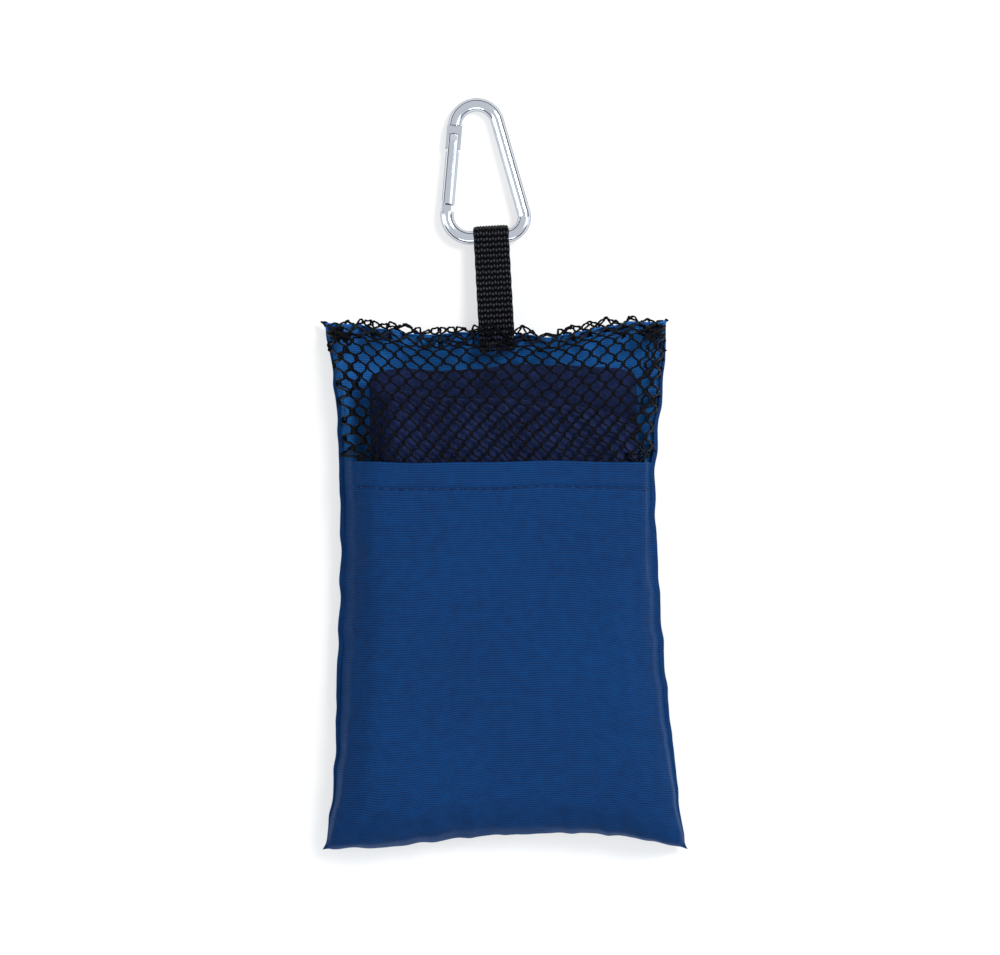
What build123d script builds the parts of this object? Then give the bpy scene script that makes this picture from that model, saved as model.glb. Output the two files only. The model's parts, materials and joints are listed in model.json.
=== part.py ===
"""A quick dry towel folded into its zipperless travel pouch, with a sewn-in webbing loop and a snap hook.

Millimetres. The pouch lies on its back: +X is right, +Y points at the snap hook, +Z is up, and the
floor is Z = 0. The origin is the bottom centre of the whole object's box.
"""

import os
from math import cos, radians, sin, tan

from build123d import *

# ---------------------------------------------------------------- driving dimensions: pouch
SEAM_HEIGHT = 8.0  # height of the seam that joins the front to the back
PANEL_THICKNESS = 0.4  # coated nylon of the front and back panels
HEM_THICKNESS = 0.75  # the front panel folded over itself along the mouth
MESH_OUTSIDE = 0.8  # how far inside the pouch's outer surface the mesh lies
MESH_THICKNESS = 0.7
HEM_TOP = 4.7  # the mouth's lip
HEM_DEPTH = 9.3
MESH_UNDERLAP = 25.0  # how far the mesh runs down behind the lip
SEAM_WIDTH = 3.2  # allowance and overlock inside the seam, at the sides
SEAM_THICKNESS = 1.0
CORNER_PULL = 1.3  # the corners are flatter than the sides
TOP_SLOPE = 2.0  # the empty top end rises half as steeply as the sides
BOTTOM_SLOPE = 1.3
CUTTER_SIZE = 400.0  # wider than the pouch, for the blocks that cut it across
SEAM_BAND_START = 0.5
SIDE_SEAM_TOP = 40.5  # where the side seams give way to the top and bottom ones
SIDE_SEAM_BOTTOM = -119.5

# the seam's outline, seen from the front; each side runs between two corners
BOTTOM_LEFT = (-63.1, -129.6)
BOTTOM_RIGHT = (63.3, -129.6)
TOP_RIGHT = (56.0, 53.4)
TOP_LEFT = (-63.3, 53.0)
BOTTOM_SIDE = [(-30.0, -127.6), (0.0, -124.4), (29.0, -124.3)]
RIGHT_SIDE = [(58.3, -95.0), (54.2, -50.0), (52.1, 0.0), (55.2, 33.0)]
TOP_SIDE = [(35.0, 51.8), (14.0, 48.0), (-3.0, 50.2), (-27.0, 48.6), (-42.0, 51.0)]
LEFT_SIDE = [(-59.0, 26.0), (-57.3, 5.0), (-57.7, -60.0), (-59.5, -103.0)]

# the filled shape: how far in from the seam, and how high there
CROWN = [(0, SEAM_HEIGHT), (1.5, 12.5), (4, 17.2), (8, 21), (13, 23), (19, 23.8), (27, 24)]
BACK = [(0, SEAM_HEIGHT), (1.5, 4.8), (5, 1.6), (10, 0)]

# ---------------------------------------------------------------- driving dimensions: stitches
HEM_STITCH_PITCH = 4.2
HEM_STITCH_LENGTH = 3.2
STITCH_WIDTH = 0.5
THREAD_THICKNESS = 0.25
STRAP_STITCH_ROWS = 3
STRAP_STITCH_COLUMNS = 4
STRAP_STITCH_PITCH = 1.2

# ---------------------------------------------------------------- driving dimensions: towel
TOWEL_LEFT = -46.5
TOWEL_RIGHT = 45.5
TOWEL_BOTTOM_END = -113.0
TOWEL_TOP_END = 36.0
TOWEL_FRONT_FOLD_END = 24.0  # the front fifth stops short of the others
TOWEL_UNDERSIDE = 1.2
TOWEL_STEP = 16.7
TOWEL_TOP = 20.6
TOWEL_CORNER = 7.0
TOWEL_UNDER_ROUNDING = 5.0
TOWEL_REAR_ROUNDING = 3.0
TOWEL_FRONT_INSET = 4.5  # the front folds are that much narrower at each side

# ---------------------------------------------------------------- driving dimensions: webbing
LEAN = 3.2  # the strap leans this far towards -X
WEBBING_WIDTH = 12.2
WEBBING_THICKNESS = 1.2
STRAP_ROOT = (-3.05, 52.2)  # where the strap bends, just outside the top seam
STRAP_REACH = 30.3  # from that bend to the middle of the hook's rod
TAIL_GAP = 0.2
TAIL_LENGTH = 9.0
LOOP_CLEARANCE = 0.3
LAYERS_PART = 6.0  # where the strap's two layers begin to open into the loop
START_SLOPE = -0.12  # how the lower layer sets off towards the floor

# ---------------------------------------------------------------- driving dimensions: snap hook
ROD_RADIUS = 2.25
ROD_HEIGHT = 3.75  # the rod's middle inside the loop
HOOK_TILT = 1.83  # brings the far end of the hook down to the floor
BASE_LEFT = -16.1  # where the gate's line and the spine's line meet the loop's line
BASE_RIGHT = 13.5
GATE_LEAN = 8.2
SPINE_LEAN = 12.8
TOP_BEND = 7.5
LEFT_BEND = 8.0
RIGHT_BEND = 6.5
PIVOT_UP = 34.8  # the gate's pivot, above the loop's line
ROD_START = 39.2
ROD_END = 9.6
TONGUE_WIDTH = 5.2
TONGUE_THICKNESS = 2.0
TONGUE_CHAMFER = 0.8
TONGUE_TOP = 5.2  # these four are measured from the pivot along the gate
TONGUE_END = -3.6
NOSE_START = -26.2
NOSE_END = -22.3
NOSE_OUTER = -2.0
NOSE_INNER = 1.2

# ---------------------------------------------------------------- driving dimensions: gate
GATE_RADIUS = 2.2
GATE_TOP = 1.6
GATE_END = -23.2
GATE_CHAMFER = 0.35
FORK_WIDTH = 2.2
FORK_BOTTOM = -4.9
CATCH_WIDTH = 2.4
CATCH_BOTTOM = -21.9
CATCH_WALL = 1.4
RIVET_RADIUS = 0.8
RIVET_CLEARANCE = 0.06
RIVET_HEAD_RADIUS = 1.25
RIVET_SEAT = 1.95
RIVET_HEAD_TOP = 2.35
BORE_OFFSET = 0.8
BORE_RADIUS = 0.85
BORE_BOTTOM = -13.5
PLUNGER_RADIUS = 0.75
PLUNGER_TIP = -3.75
PLUNGER_LENGTH = 3.0
PLUNGER_CHAMFER = 0.1
SPRING_RADIUS = 0.55
SPRING_WIRE = 0.13
SPRING_TURNS = 7
SPRING_GAP = 0.15

os.makedirs("parts", exist_ok=True)

# ---------------------------------------------------------------- frames
across = Vector(cos(radians(LEAN)), sin(radians(LEAN)), 0)
along = Vector(-sin(radians(LEAN)), cos(radians(LEAN)), 0)
strap_root = Vector(*STRAP_ROOT, SEAM_HEIGHT)
rod_middle = strap_root + along * STRAP_REACH + Vector(0, 0, ROD_HEIGHT - SEAM_HEIGHT)

strap_side = Plane(strap_root - across * (WEBBING_WIDTH / 2), x_dir=along, z_dir=across)
hook_up = along * cos(radians(HOOK_TILT)) - Vector(0, 0, 1) * sin(radians(HOOK_TILT))
hook_plane = Plane(rod_middle, x_dir=across, z_dir=across.cross(hook_up))


def gate_line(up):
    """The point of the gate's middle line at this height above the loop's line, in the hook's plane."""
    return (BASE_LEFT + up * tan(radians(GATE_LEAN)), up)


pivot = hook_plane.from_local_coords(Vector(*gate_line(PIVOT_UP), 0))
gate_across = hook_plane.x_dir.rotate(Axis((0, 0, 0), hook_plane.z_dir), -GATE_LEAN)
gate_plane = Plane(pivot, x_dir=gate_across, z_dir=hook_plane.z_dir)
gate_top_plane = Plane(pivot, x_dir=gate_across, z_dir=gate_plane.y_dir)


# ---------------------------------------------------------------- pouch
def outline(inset):
    """The seam's outline pulled inwards: by inset at the sides, further at the ends and corners."""
    low = inset * BOTTOM_SLOPE * CORNER_PULL
    high = inset * TOP_SLOPE * CORNER_PULL
    side = inset * CORNER_PULL
    corners = [
        (BOTTOM_LEFT[0] + side, BOTTOM_LEFT[1] + low),
        (BOTTOM_RIGHT[0] - side, BOTTOM_RIGHT[1] + low),
        (TOP_RIGHT[0] - side, TOP_RIGHT[1] - high),
        (TOP_LEFT[0] + side, TOP_LEFT[1] - high),
    ]
    left_corner, right_corner, right_top, left_top = corners

    def narrowed(x, shift):
        """A point of an end, kept in proportion between the two pulled-in corners."""
        share = (x - TOP_LEFT[0]) / (BOTTOM_RIGHT[0] - TOP_LEFT[0])
        return x + shift * (1 - 2 * share)

    def shortened(y):
        """A point of a side, kept in proportion between the two pulled-in corners."""
        share = (y - BOTTOM_LEFT[1]) / (TOP_LEFT[1] - BOTTOM_LEFT[1])
        return y + low * (1 - share) - high * share

    bottom = [(narrowed(x, side), y + inset * BOTTOM_SLOPE) for x, y in BOTTOM_SIDE]
    right = [(x - inset, shortened(y)) for x, y in RIGHT_SIDE]
    top = [(narrowed(x, side), y - inset * TOP_SLOPE) for x, y in TOP_SIDE]
    left = [(x + inset, shortened(y)) for x, y in LEFT_SIDE]
    with BuildSketch() as sketch:
        with BuildLine():
            Spline(left_corner, *bottom, right_corner)
            Spline(right_corner, *right, right_top)
            Spline(right_top, *top, left_top)
            Spline(left_top, *left, left_corner)
        make_face()
    return sketch.sketch


def filled_shape(steps, depth):
    """The solid between the seam's plane and the filled surface, depth inside that surface."""
    towards = 1 if steps[-1][1] > SEAM_HEIGHT else -1
    with BuildPart() as shape:
        for inset, height in steps:
            level = height if height == SEAM_HEIGHT else height - towards * depth
            with BuildSketch(Plane.XY.offset(level)):
                add(outline(inset + depth))
        loft()
    return shape.part


def beyond(y, side):
    """A block that covers everything above (+1) or below (-1) a line across the pouch."""
    return Pos(0, y + side * CUTTER_SIZE / 2, 0) * Box(CUTTER_SIZE, CUTTER_SIZE, CUTTER_SIZE)


below_hem = beyond(HEM_TOP - HEM_DEPTH, -1)
above_lip = beyond(HEM_TOP, 1)
below_mesh = beyond(HEM_TOP - MESH_UNDERLAP, -1)

outer_crown = filled_shape(CROWN, 0)
lip_crown = filled_shape(CROWN, HEM_THICKNESS)
nylon_below_hem = filled_shape(CROWN, PANEL_THICKNESS) & below_hem
mesh_crown = filled_shape(CROWN, MESH_OUTSIDE)
inner_crown = filled_shape(CROWN, MESH_OUTSIDE + MESH_THICKNESS)

with BuildPart() as strap_tail:
    for layer in (-1, 0):
        with BuildSketch(strap_side):
            with Locations((-WEBBING_THICKNESS - TAIL_GAP, layer * WEBBING_THICKNESS)):
                Rectangle(TAIL_LENGTH, WEBBING_THICKNESS, align=(Align.MAX, Align.MIN))
        extrude(amount=WEBBING_WIDTH)
strap_tail.part.label = "strap_tail"

outer_back = filled_shape(BACK, 0)
inner_back = filled_shape(BACK, PANEL_THICKNESS)

with BuildPart() as back_panel:
    add(outer_back)
    add(inner_back, mode=Mode.SUBTRACT)
    add(strap_tail.part, mode=Mode.SUBTRACT)
back_panel.part.label = "back_panel"

with BuildPart() as front_panel:
    add(outer_crown)
    add(lip_crown, mode=Mode.SUBTRACT)
    add(nylon_below_hem, mode=Mode.SUBTRACT)
    add(above_lip, mode=Mode.SUBTRACT)
front_panel.part.label = "front_panel"

with BuildPart() as mesh_panel:
    add(mesh_crown)
    add(inner_crown, mode=Mode.SUBTRACT)
    add(below_mesh, mode=Mode.SUBTRACT)
    add(strap_tail.part, mode=Mode.SUBTRACT)
mesh_panel.part.label = "mesh_panel"

# ---------------------------------------------------------------- seams inside the pouch
with BuildPart() as seam_band:
    with BuildSketch(Plane.XY.offset(SEAM_HEIGHT - SEAM_THICKNESS)):
        add(outline(SEAM_BAND_START))
        add(outline(SEAM_WIDTH), mode=Mode.SUBTRACT)
    extrude(amount=SEAM_THICKNESS)
    add(back_panel.part, mode=Mode.SUBTRACT)
    add(strap_tail.part, mode=Mode.SUBTRACT)


def seam_piece(left, right, low, high):
    """The part of the seam band inside this rectangle, as one named piece."""
    middle = Pos((left + right) / 2, (low + high) / 2, SEAM_HEIGHT)
    window = middle * Box(right - left, high - low, 2 * SEAM_HEIGHT)
    with BuildPart() as piece:
        add(seam_band.part)
        add(window, mode=Mode.INTERSECT)
    return piece


far = CUTTER_SIZE / 2
top_seam = seam_piece(-far, far, SIDE_SEAM_TOP, far)
top_seam.part.label = "top_seam"
bottom_seam = seam_piece(-far, far, -far, SIDE_SEAM_BOTTOM)
bottom_seam.part.label = "bottom_seam"
left_seam = seam_piece(-far, 0, SIDE_SEAM_BOTTOM, SIDE_SEAM_TOP)
left_seam.part.label = "left_seam"
right_seam = seam_piece(0, far, SIDE_SEAM_BOTTOM, SIDE_SEAM_TOP)
right_seam.part.label = "right_seam"

# ---------------------------------------------------------------- stitches
stitch_left = LEFT_SIDE[1][0] + HEM_STITCH_PITCH
stitch_count = int((RIGHT_SIDE[2][0] - HEM_STITCH_PITCH - stitch_left) / HEM_STITCH_PITCH) + 1

thread_crown = filled_shape(CROWN, -THREAD_THICKNESS)

with BuildPart() as hem_stitches:
    with BuildSketch(Plane.XY.offset(SEAM_HEIGHT)):
        for number in range(stitch_count):
            with Locations((stitch_left + number * HEM_STITCH_PITCH, HEM_TOP - HEM_DEPTH)):
                Rectangle(HEM_STITCH_LENGTH, STITCH_WIDTH, align=(Align.MIN, Align.CENTER))
    extrude(amount=CROWN[-1][1])
    add(thread_crown, mode=Mode.INTERSECT)
    add(outer_crown, mode=Mode.SUBTRACT)
hem_stitches.part.label = "hem_stitches"

with BuildPart() as strap_stitches:
    tail_top = Plane(strap_root + Vector(0, 0, WEBBING_THICKNESS), x_dir=across, z_dir=(0, 0, 1))
    with BuildSketch(tail_top):
        middle_row = -WEBBING_THICKNESS - TAIL_GAP - TAIL_LENGTH + STRAP_STITCH_ROWS * STRAP_STITCH_PITCH / 2
        with Locations((0, middle_row)):
            with GridLocations(
                2 * STRAP_STITCH_PITCH, STRAP_STITCH_PITCH, STRAP_STITCH_COLUMNS, STRAP_STITCH_ROWS
            ):
                Rectangle(STRAP_STITCH_PITCH, STITCH_WIDTH)
    extrude(amount=THREAD_THICKNESS)
strap_stitches.part.label = "strap_stitches"

# ---------------------------------------------------------------- towel
with BuildPart() as front_folds:
    with BuildSketch(Plane.XY.offset(TOWEL_STEP - TOWEL_CORNER)):
        with Locations(((TOWEL_LEFT + TOWEL_RIGHT) / 2, TOWEL_BOTTOM_END + TOWEL_FRONT_INSET)):
            Rectangle(
                TOWEL_RIGHT - TOWEL_LEFT - 2 * TOWEL_FRONT_INSET,
                TOWEL_FRONT_FOLD_END - TOWEL_BOTTOM_END - TOWEL_FRONT_INSET,
                align=(Align.CENTER, Align.MIN),
            )
    extrude(amount=TOWEL_TOP - TOWEL_STEP + TOWEL_CORNER)
    fillet(front_folds.edges().filter_by(Axis.Z), TOWEL_CORNER)
    fillet(front_folds.edges().group_by(Axis.Z)[-1], TOWEL_REAR_ROUNDING)

with BuildPart() as towel:
    with BuildSketch(Plane.XY.offset(TOWEL_UNDERSIDE)):
        with Locations(((TOWEL_LEFT + TOWEL_RIGHT) / 2, TOWEL_BOTTOM_END)):
            Rectangle(
                TOWEL_RIGHT - TOWEL_LEFT,
                TOWEL_TOP_END - TOWEL_BOTTOM_END,
                align=(Align.CENTER, Align.MIN),
            )
    extrude(amount=TOWEL_STEP - TOWEL_UNDERSIDE)
    fillet(towel.edges().filter_by(Axis.Z), TOWEL_CORNER)
    fillet(towel.edges().group_by(Axis.Z)[0], TOWEL_UNDER_ROUNDING)
    fillet(towel.edges().group_by(Axis.Z)[-1], TOWEL_REAR_ROUNDING)
    add(front_folds.part)
towel.part.label = "towel"

# ---------------------------------------------------------------- webbing loop
drop = ROD_HEIGHT - SEAM_HEIGHT
fold_outside = ROD_RADIUS + LOOP_CLEARANCE + WEBBING_THICKNESS
fold_inside = ROD_RADIUS + LOOP_CLEARANCE

with BuildPart() as webbing_loop:
    with BuildSketch(strap_side):
        with BuildLine():
            start = (0, WEBBING_THICKNESS)
            top = (STRAP_REACH, drop + fold_outside)
            under = (STRAP_REACH, drop - fold_outside)
            last = (0, -WEBBING_THICKNESS)
            Spline(start, top, tangents=[(1, 0), (1, 0)])
            ThreePointArc(top, (STRAP_REACH + fold_outside, drop), under)
            Spline(last, under, tangents=[(1, START_SLOPE), (1, 0)])
            ThreePointArc(start, (-WEBBING_THICKNESS, 0), last)
        make_face()
        with BuildLine():
            parting = (LAYERS_PART, 2 * START_SLOPE)
            top = (STRAP_REACH, drop + fold_inside)
            under = (STRAP_REACH, drop - fold_inside)
            Spline(parting, top, tangents=[(1, START_SLOPE / 2), (1, 0)])
            ThreePointArc(top, (STRAP_REACH + fold_inside, drop), under)
            Spline(parting, under, tangents=[(1, 2 * START_SLOPE), (1, 0)])
        make_face(mode=Mode.SUBTRACT)
    extrude(amount=WEBBING_WIDTH)
webbing_loop.part.label = "webbing_loop"

# ---------------------------------------------------------------- snap hook
apex_up = (BASE_RIGHT - BASE_LEFT) / (tan(radians(GATE_LEAN)) + tan(radians(SPINE_LEAN)))

with BuildPart() as carabiner_body:
    with BuildLine(hook_plane) as rod_path:
        FilletPolyline(
            gate_line(ROD_START),
            gate_line(apex_up),
            (BASE_RIGHT, 0),
            (BASE_LEFT, 0),
            gate_line(ROD_END),
            radius=[TOP_BEND, RIGHT_BEND, LEFT_BEND],
        )
    with BuildSketch(Plane(rod_path.line @ 0, z_dir=rod_path.line % 0)):
        Circle(ROD_RADIUS)
    sweep()
    with BuildSketch(gate_plane.offset(-TONGUE_THICKNESS / 2)) as tongue:
        with Locations((0, TONGUE_END)):
            Rectangle(TONGUE_WIDTH, TONGUE_TOP - TONGUE_END, align=(Align.CENTER, Align.MIN))
        chamfer(tongue.vertices().sort_by(Axis.Y)[2:], TONGUE_CHAMFER)
    extrude(amount=TONGUE_THICKNESS)
    with BuildSketch(gate_plane.offset(-TONGUE_THICKNESS / 2)):
        with Locations(((NOSE_OUTER + NOSE_INNER) / 2, NOSE_START)):
            Rectangle(NOSE_INNER - NOSE_OUTER, NOSE_END - NOSE_START, align=(Align.CENTER, Align.MIN))
    extrude(amount=TONGUE_THICKNESS)
    with BuildSketch(gate_plane.offset(-TONGUE_THICKNESS)):
        Circle(RIVET_RADIUS + RIVET_CLEARANCE)
    extrude(amount=2 * TONGUE_THICKNESS, mode=Mode.SUBTRACT)
carabiner_body.part.label = "carabiner_body"

with BuildPart() as carabiner_gate:
    with BuildSketch(gate_top_plane.offset(GATE_END)):
        Circle(GATE_RADIUS)
    extrude(amount=GATE_TOP - GATE_END)
    chamfer(carabiner_gate.edges().filter_by(GeomType.CIRCLE), GATE_CHAMFER)
    with BuildSketch(gate_plane.offset(-FORK_WIDTH / 2)):
        with Locations((0, FORK_BOTTOM)):
            Rectangle(4 * GATE_RADIUS, 3 * GATE_RADIUS + GATE_TOP, align=(Align.CENTER, Align.MIN))
    extrude(amount=FORK_WIDTH, mode=Mode.SUBTRACT)
    with BuildSketch(gate_plane.offset(-CATCH_WIDTH / 2)):
        with Locations((CATCH_WALL, CATCH_BOTTOM)):
            Rectangle(4 * GATE_RADIUS, 2 * GATE_RADIUS, align=(Align.MAX, Align.MAX))
    extrude(amount=CATCH_WIDTH, mode=Mode.SUBTRACT)
    with BuildSketch(gate_top_plane.offset(BORE_BOTTOM)):
        with Locations((BORE_OFFSET, 0)):
            Circle(BORE_RADIUS)
    extrude(amount=FORK_BOTTOM - BORE_BOTTOM, mode=Mode.SUBTRACT)
    with BuildSketch(gate_plane.offset(-2 * GATE_RADIUS)):
        Circle(RIVET_RADIUS)
    extrude(amount=4 * GATE_RADIUS, mode=Mode.SUBTRACT)
    for seat in (gate_plane.offset(RIVET_SEAT), gate_plane.offset(-RIVET_SEAT - GATE_RADIUS)):
        with BuildSketch(seat):
            Circle(RIVET_HEAD_RADIUS)
        extrude(amount=GATE_RADIUS, mode=Mode.SUBTRACT)
carabiner_gate.part.label = "carabiner_gate"

with BuildPart() as gate_rivet:
    with BuildSketch(gate_plane.offset(-RIVET_SEAT)):
        Circle(RIVET_RADIUS)
    extrude(amount=2 * RIVET_SEAT)
    for head in (gate_plane.offset(RIVET_SEAT), gate_plane.offset(-RIVET_HEAD_TOP)):
        with BuildSketch(head):
            Circle(RIVET_HEAD_RADIUS)
        extrude(amount=RIVET_HEAD_TOP - RIVET_SEAT)
gate_rivet.part.label = "gate_rivet"

with BuildPart() as gate_plunger:
    with BuildSketch(gate_top_plane.offset(PLUNGER_TIP - PLUNGER_LENGTH)):
        with Locations((BORE_OFFSET, 0)):
            Circle(PLUNGER_RADIUS)
    extrude(amount=PLUNGER_LENGTH)
    chamfer(gate_plunger.edges().filter_by(GeomType.CIRCLE), PLUNGER_CHAMFER)
gate_plunger.part.label = "gate_plunger"

spring_top = PLUNGER_TIP - PLUNGER_LENGTH - SPRING_GAP - SPRING_WIRE
spring_foot = BORE_BOTTOM + SPRING_GAP + SPRING_WIRE

with BuildPart() as gate_spring:
    with BuildLine() as coil:
        Helix(
            pitch=(spring_top - spring_foot) / SPRING_TURNS,
            height=spring_top - spring_foot,
            radius=SPRING_RADIUS,
            center=gate_top_plane.from_local_coords(Vector(BORE_OFFSET, 0, spring_foot)),
            direction=gate_top_plane.z_dir,
        )
    with BuildSketch(Plane(coil.line @ 0, z_dir=coil.line % 0)):
        Circle(SPRING_WIRE)
    sweep()
gate_spring.part.label = "gate_spring"

# ---------------------------------------------------------------- files, one per piece
pieces = (
    back_panel,
    front_panel,
    mesh_panel,
    left_seam,
    right_seam,
    top_seam,
    bottom_seam,
    hem_stitches,
    strap_stitches,
    strap_tail,
    towel,
    webbing_loop,
    carabiner_body,
    carabiner_gate,
    gate_rivet,
    gate_plunger,
    gate_spring,
)
for piece in pieces:
    export_step(piece.part, f"parts/{piece.part.label}.step")
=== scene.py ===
"""A quick dry towel folded in its zipperless travel pouch: nylon back and lower front, knitted mesh
upper front, webbing loop and snap hook. Lengths are worked out in millimetres and made in metres."""

import json
from math import cos, pi, sin, tau

import bpy
import numpy as np
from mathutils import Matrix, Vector


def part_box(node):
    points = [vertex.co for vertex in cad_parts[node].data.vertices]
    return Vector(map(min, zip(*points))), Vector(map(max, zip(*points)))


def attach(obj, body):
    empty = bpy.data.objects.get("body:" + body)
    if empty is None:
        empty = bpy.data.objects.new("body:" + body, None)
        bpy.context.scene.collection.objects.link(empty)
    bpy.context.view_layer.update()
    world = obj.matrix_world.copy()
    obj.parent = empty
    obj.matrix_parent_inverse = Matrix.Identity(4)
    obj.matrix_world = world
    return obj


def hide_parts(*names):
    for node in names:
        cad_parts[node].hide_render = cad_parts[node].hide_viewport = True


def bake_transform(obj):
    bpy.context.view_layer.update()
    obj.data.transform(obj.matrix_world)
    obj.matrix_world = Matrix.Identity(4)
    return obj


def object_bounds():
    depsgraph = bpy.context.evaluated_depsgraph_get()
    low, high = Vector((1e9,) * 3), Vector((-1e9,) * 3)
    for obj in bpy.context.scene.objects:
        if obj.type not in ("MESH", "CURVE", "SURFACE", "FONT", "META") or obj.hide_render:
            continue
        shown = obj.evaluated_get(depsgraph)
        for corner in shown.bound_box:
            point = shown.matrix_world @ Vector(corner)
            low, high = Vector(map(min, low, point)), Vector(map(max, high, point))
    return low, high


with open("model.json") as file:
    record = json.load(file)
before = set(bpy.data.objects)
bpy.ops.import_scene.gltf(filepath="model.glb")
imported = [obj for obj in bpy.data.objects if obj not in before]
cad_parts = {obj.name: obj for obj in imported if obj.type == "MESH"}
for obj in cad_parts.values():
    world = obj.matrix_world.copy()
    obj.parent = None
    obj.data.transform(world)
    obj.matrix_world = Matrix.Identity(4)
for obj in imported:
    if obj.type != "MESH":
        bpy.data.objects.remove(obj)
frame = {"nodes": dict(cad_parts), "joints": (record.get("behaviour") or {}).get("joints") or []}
cad_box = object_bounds()

MM = 0.001

# ---------------------------------------------------------------- the pouch
SEAM_MIDDLE = 8.0  # height of the seam halfway along each side
SEAM_CORNER = 4.2  # and at the corners, which droop towards the floor
BACK_LIP = 1.5  # how far the back panel rolls out past the side seams
FLAT_WIDTH = 126.0  # the pouch before it was filled
FLAT_LENGTH = 186.0
LIP_Y = 4.4  # the hem's top edge
LIP_EASE = 6.0  # this close to the side seams the edge runs straight along the cloth
HEM_DEPTH = 9.4
HEM_MARGIN = 4.0  # the nylon's points are closer together from this far below the stitch line
HEM_TURNED = 0.9  # the turned-in cloth runs on this far below it
LIP_ROUND = 0.38  # the hem's top edge turns over in this length
LIP_ROLL = 0.27  # and with this radius
NYLON_LIFT = 0.95  # the nylon's height over the draped surface that the mesh lies on
NYLON_THICKNESS = 0.14
NYLON_RIB = 0.8  # the weave's pitches
NYLON_YARN = 0.55
RIM_EASE = 2.5  # the layers come together over this distance from the seam
STITCH_PITCH = 4.25
STITCH_DUTY = 0.8  # the share of the pitch that a stitch spans
STITCH_RADIUS = 0.24
STITCH_DIVE = 0.62
SEAM_STITCH = 2.8
SEAM_INSET = 0.9
SEAM_THREAD_RADIUS = 0.15
SEAM_THREAD_LIFT = -0.6
WALL_WIDTH = 9.5  # how far in from the seam the back panel reaches the floor
FLOOR_GAP = 0.22
TOP_WALL = 0.62  # the wall at the top is longer by this ratio
SIDE_ROLL = 3.6
END_ROLL = 1.2

# ---------------------------------------------------------------- the drape
CEILING_EASE = 20.5  # the cloth is eased down from here to stay below the highest point
SIM_SCALE = 20.0  # the cloth is simulated this much larger, because its collision distances are fixed
GRID_U = 65
GRID_V = 95
REST_WIDTH = 122.0  # of the sheet that is draped, which is held a little tight
REST_LENGTH = 182.0
STUFFING = 5.0  # how hard the towel and the air in its folds press the cloth outwards
START_HEIGHT = 25.0
CONTACT_GAP = 0.008
BLOCK_STEP = 1.6
BLOCK_SIDE = 64.0
BLOCK_LOW = -128.0
BLOCK_HIGH = 52.8
BLOCK_ROUNDING = 6.0
REAR_TOP = 16.0  # height of the towel's rear part
FRONT_RISE = 1.5  # how far the cloth stands over its front part
FULL_FRAMES = 36

# ---------------------------------------------------------------- the mesh
HOLE_PITCH = 6.1
ROW_PITCH = 3.22
BAR_LENGTH = 2.35
STRAND_OFFSET = 0.47
STRAND_RADIUS = 0.36
MESH_BEHIND_LIP = 25.0
ALLOWANCE = 9.0
TOP_ALLOWANCE = 15.0
GATHERED = 7.0  # the mesh is drawn together over this much of its length below the top seam
GATHER_SHARE = 0.42
KNIT_JITTER = 0.09
FOLD_DROP = 1.5  # the folded-in mesh lies this much lower
STRAP_CLEAR = 5.6  # the mesh climbs over the webbing within this distance of its middle
STRAP_SLOPE = 3.0

# ---------------------------------------------------------------- the towel
PLY = 0.98
PLIES = 4
PANELS = 5
CORNER_EASE = 2.8  # the soft corners stand back from the folds' straight ends
FOLD_FILL = 0.98  # the folds are this share of their full round
PLY_CLOTH = 0.86  # the cloth's share of a ply
END_GAP = 0.6
FRONT_GAP = 0.9
PANEL_POINTS = 34
TURN_POINTS = 9

# ---------------------------------------------------------------- the webbing
WEBBING_THICKNESS = 1.1
WEBBING_WIDTH = 12.2
RIB_PITCH = 1.9
WARPS = 12
WARP_STAGGER = 0.14  # every other warp is this share of a rib behind
WARP_POINTS = 8
WEAVE_STEP = 0.14
WEAVE_RELIEF = 0.5
TAIL_LENGTH = 9.5
SEAM_SIDE = -0.5  # the tail ends here, just inside the seam
ROD_RADIUS = 2.25
ROD_CLEARANCE = 0.32
TAIL_CLEARANCE = 0.06

# ---------------------------------------------------------------- the camera and the floor
CAMERA_DISTANCE = 1.25  # these three in metres
CAMERA_AIM = Vector((-0.0017, -0.0009, 0.008))
VIEW_WIDTH = 0.345
FLOOR_HALF = 4000.0

# ---------------------------------------------------------------- where the strap is, from the frame
joint = {one["name"]: one for one in frame["joints"]}
strap_root = np.array(joint["strap_bend"]["pos_m"]) / MM
rod_middle = np.array(joint["hook_turn"]["pos_m"]) / MM
strap_across = np.array(joint["strap_bend"]["axis"])
strap_across /= np.linalg.norm(strap_across)
strap_along = np.cross((0, 0, 1), strap_across)


# ---------------------------------------------------------------- helpers
def smooth_step(t):
    t = np.clip(t, 0.0, 1.0)
    return t * t * (3 - 2 * t)


def ripple(s, waves):
    """A sum of sines of s: waves holds (wavelength, height, phase)."""
    return sum(height * np.sin(tau * s / length + phase) for length, height, phase in waves)


def new_piece(name, points, faces, body=None, uv=None):
    """A mesh object from points in mm, riding on a body."""
    mesh = bpy.data.meshes.new(name)
    mesh.from_pydata((np.asarray(points, float) * MM).tolist(), [], np.asarray(faces).tolist())
    if uv is not None:
        layer = mesh.uv_layers.new(name="flat")
        loops = np.empty(len(mesh.loops), np.int32)
        mesh.loops.foreach_get("vertex_index", loops)
        layer.data.foreach_set("uv", (np.asarray(uv, float)[loops] * MM).ravel())
    mesh.polygons.foreach_set("use_smooth", [True] * len(mesh.polygons))
    mesh.update()
    piece = bpy.data.objects.new(name, mesh)
    bpy.context.scene.collection.objects.link(piece)
    if body:
        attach(piece, body)
    return piece


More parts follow.
